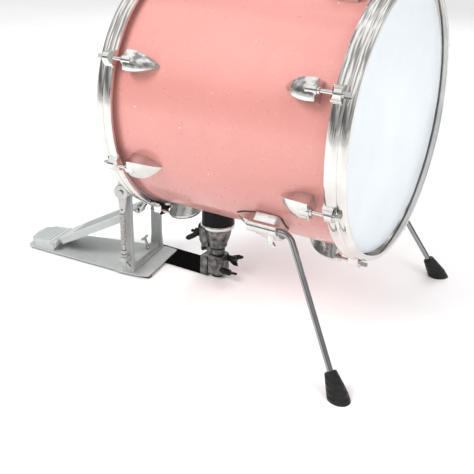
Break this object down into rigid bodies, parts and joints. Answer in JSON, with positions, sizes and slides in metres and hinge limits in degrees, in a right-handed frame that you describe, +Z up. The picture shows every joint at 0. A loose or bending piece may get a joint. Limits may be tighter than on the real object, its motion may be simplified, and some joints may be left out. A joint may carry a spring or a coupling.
{
  "type": "bass drum",
  "caption": "Compact bass drum with cast metal hoops, lug-mounted tension rods, folding spurs, a height-adjustable riser and a clamped foot pedal with a felt beater.",
  "frame": {"origin": "on the floor, at the middle of the bounding box: below the axis of the drum, midway between the heel of the pedal and the front of the spur feet", "axes": "+X along the drum axis from the batter head towards the resonant (front) head; +Y towards the left-hand spur as the player sits; +Z up, the drum axis is 352 mm above the origin plane"},
  "size_m": [0.7714, 0.4982, 0.57],
  "materials": {
    "shell_lacquer": "ply under gloss coral lacquer with fine sparkle",
    "head_film": "coated film",
    "flesh_hoop_metal": "satin",
    "hoop_chrome": "polished",
    "hardware_chrome": "polished",
    "rod_steel": "bright plated",
    "spur_steel": "gloss black",
    "black_rubber": "matt",
    "saddle_black": "satin",
    "riser_casting": "satin grey",
    "riser_hardware": "black nickel",
    "bar_black": "satin black",
    "pedal_paint": "satin grey",
    "pedal_steel": "bright plated",
    "spring_steel": "bright",
    "beater_felt": "pressed felt"
  },
  "bodies": {
    "drum": {"shell": "shell_lacquer", "batter_head": "head_film", "resonant_head": "head_film", "batter_flesh_hoop": "flesh_hoop_metal", "resonant_flesh_hoop": "flesh_hoop_metal", "batter_hoop": "hoop_chrome", "resonant_hoop": "hoop_chrome", "batter_tension_rods": "rod_steel", "resonant_tension_rods": "rod_steel", "rod_washers": "rod_steel", "batter_lugs": "hardware_chrome", "resonant_lugs": "hardware_chrome", "swivel_nuts": "rod_steel", "shell_screws": "rod_steel", "vent_grommet": "hardware_chrome", "spur_bracket_right": "hardware_chrome", "spur_bracket_left": "hardware_chrome", "spur_gasket_right": "black_rubber", "spur_gasket_left": "black_rubber", "riser_saddle": "saddle_black", "riser_ring": "hardware_chrome", "riser_housing": "riser_casting", "riser_clamp_arm": "riser_casting", "riser_swing_bolt": "riser_hardware"},
    "spur_right": {"spur_rod_right": "spur_steel", "spur_foot_right": "black_rubber"},
    "spur_left": {"spur_rod_left": "spur_steel", "spur_foot_left": "black_rubber"},
    "spur_screw_right": {"spur_clamp_screw_right": "rod_steel"},
    "spur_screw_left": {"spur_clamp_screw_left": "rod_steel"},
    "riser_nut": {"riser_wing_nut": "riser_hardware"},
    "riser_post": {"riser_post": "hardware_chrome", "post_foot": "black_rubber", "memory_lock": "riser_casting", "memory_lock_screw": "riser_hardware"},
    "pedal_base": {"clamp_body": "riser_casting", "clamp_jaw": "riser_casting", "pedal_bar": "bar_black", "pedal_base_plate": "pedal_paint", "pedal_pads": "black_rubber", "pedal_frame": "pedal_paint", "heel_plate": "pedal_paint", "heel_hinge_pin": "pedal_steel", "axle_bearings": "pedal_steel", "spring_hook_bolt": "pedal_steel", "pedal_fasteners": "pedal_steel", "return_spring": "spring_steel"},
    "clamp_bolt_upper": {"clamp_wing_bolt_upper": "riser_hardware"},
    "clamp_bolt_lower": {"clamp_wing_bolt_lower": "riser_hardware"},
    "toe_screw": {"toe_clamp_screw": "pedal_steel"},
    "footboard": {"footboard": "pedal_paint", "toe_pin": "pedal_steel"},
    "beater": {"beater_axle": "pedal_steel", "beater_hub": "pedal_steel", "hub_screw": "pedal_steel", "beater_rod": "pedal_steel", "beater_felt": "beater_felt", "crank_pin": "pedal_steel", "spring_rocker": "pedal_steel"},
    "link": {"drive_link": "pedal_steel"}
  },
  "joints": [
    {"name": "spur_swing_right", "type": "hinge", "parent": "drum", "child": "spur_right", "pos_m": [0.2446, -0.173, 0.209], "axis": [1, 0, 0], "range_deg": [0, 55]},
    {"name": "spur_swing_left", "type": "hinge", "parent": "drum", "child": "spur_left", "pos_m": [0.2446, 0.173, 0.209], "axis": [1, 0, 0], "range_deg": [-55, 0]},
    {"name": "spur_screw_turn_right", "type": "hinge", "parent": "drum", "child": "spur_screw_right", "pos_m": [0.2136, -0.17329, 0.1925], "axis": [0, -0.0175, -0.9998], "continuous": true},
    {"name": "spur_screw_turn_left", "type": "hinge", "parent": "drum", "child": "spur_screw_left", "pos_m": [0.2136, 0.17329, 0.1925], "axis": [0, 0.0175, -0.9998], "continuous": true},
    {"name": "riser_nut_turn", "type": "hinge", "parent": "drum", "child": "riser_nut", "pos_m": [-0.0244, -0.01, 0.084], "axis": [-1, 0, 0], "continuous": true},
    {"name": "riser_height", "type": "slide", "parent": "drum", "child": "riser_post", "axis": [0, 0, 1], "range_m": [-0.05, 0]},
    {"name": "clamp_swivel", "type": "hinge", "parent": "riser_post", "child": "pedal_base", "pos_m": [0.0106, 0, 0.025], "axis": [0, 0, 1], "range_deg": [-3, 3]},
    {"name": "clamp_bolt_turn_upper", "type": "hinge", "parent": "pedal_base", "child": "clamp_bolt_upper", "pos_m": [0.0286, 0.0115, 0.036], "axis": [1, 0, 0], "continuous": true},
    {"name": "clamp_bolt_turn_lower", "type": "hinge", "parent": "pedal_base", "child": "clamp_bolt_lower", "pos_m": [0.0286, -0.0115, 0.019], "axis": [1, 0, 0], "continuous": true},
    {"name": "toe_screw_turn", "type": "hinge", "parent": "pedal_base", "child": "toe_screw", "pos_m": [-0.136, -0.01141, 0.001], "axis": [-0.3368, -0.0594, 0.9397], "continuous": true},
    {"name": "footboard_hinge", "type": "hinge", "parent": "pedal_base", "child": "footboard", "pos_m": [-0.3157, -0.06341, 0.02], "axis": [-0.1736, 0.9848, 0], "range_deg": [0, 11.5], "stiffness_Nm_per_rad": 8, "springref_deg": -22.92},
    {"name": "beater_turn", "type": "hinge", "parent": "pedal_base", "child": "beater", "pos_m": [-0.1404, -0.0325, 0.173], "axis": [-0.1736, 0.9848, 0], "range_deg": [0, 34.5], "deforming": ["return_spring"]},
    {"name": "link_turn", "type": "hinge", "parent": "beater", "child": "link", "pos_m": [-0.09465, -0.02443, 0.19149], "axis": [-0.1736, 0.9848, 0], "range_deg": [-42.8, 0]}
  ],
  "couplings": [
    {"joint": "beater_turn", "follows": "footboard_hinge", "ratio": 3},
    {"joint": "link_turn", "follows": "footboard_hinge", "ratio": -3.716}
  ]
}
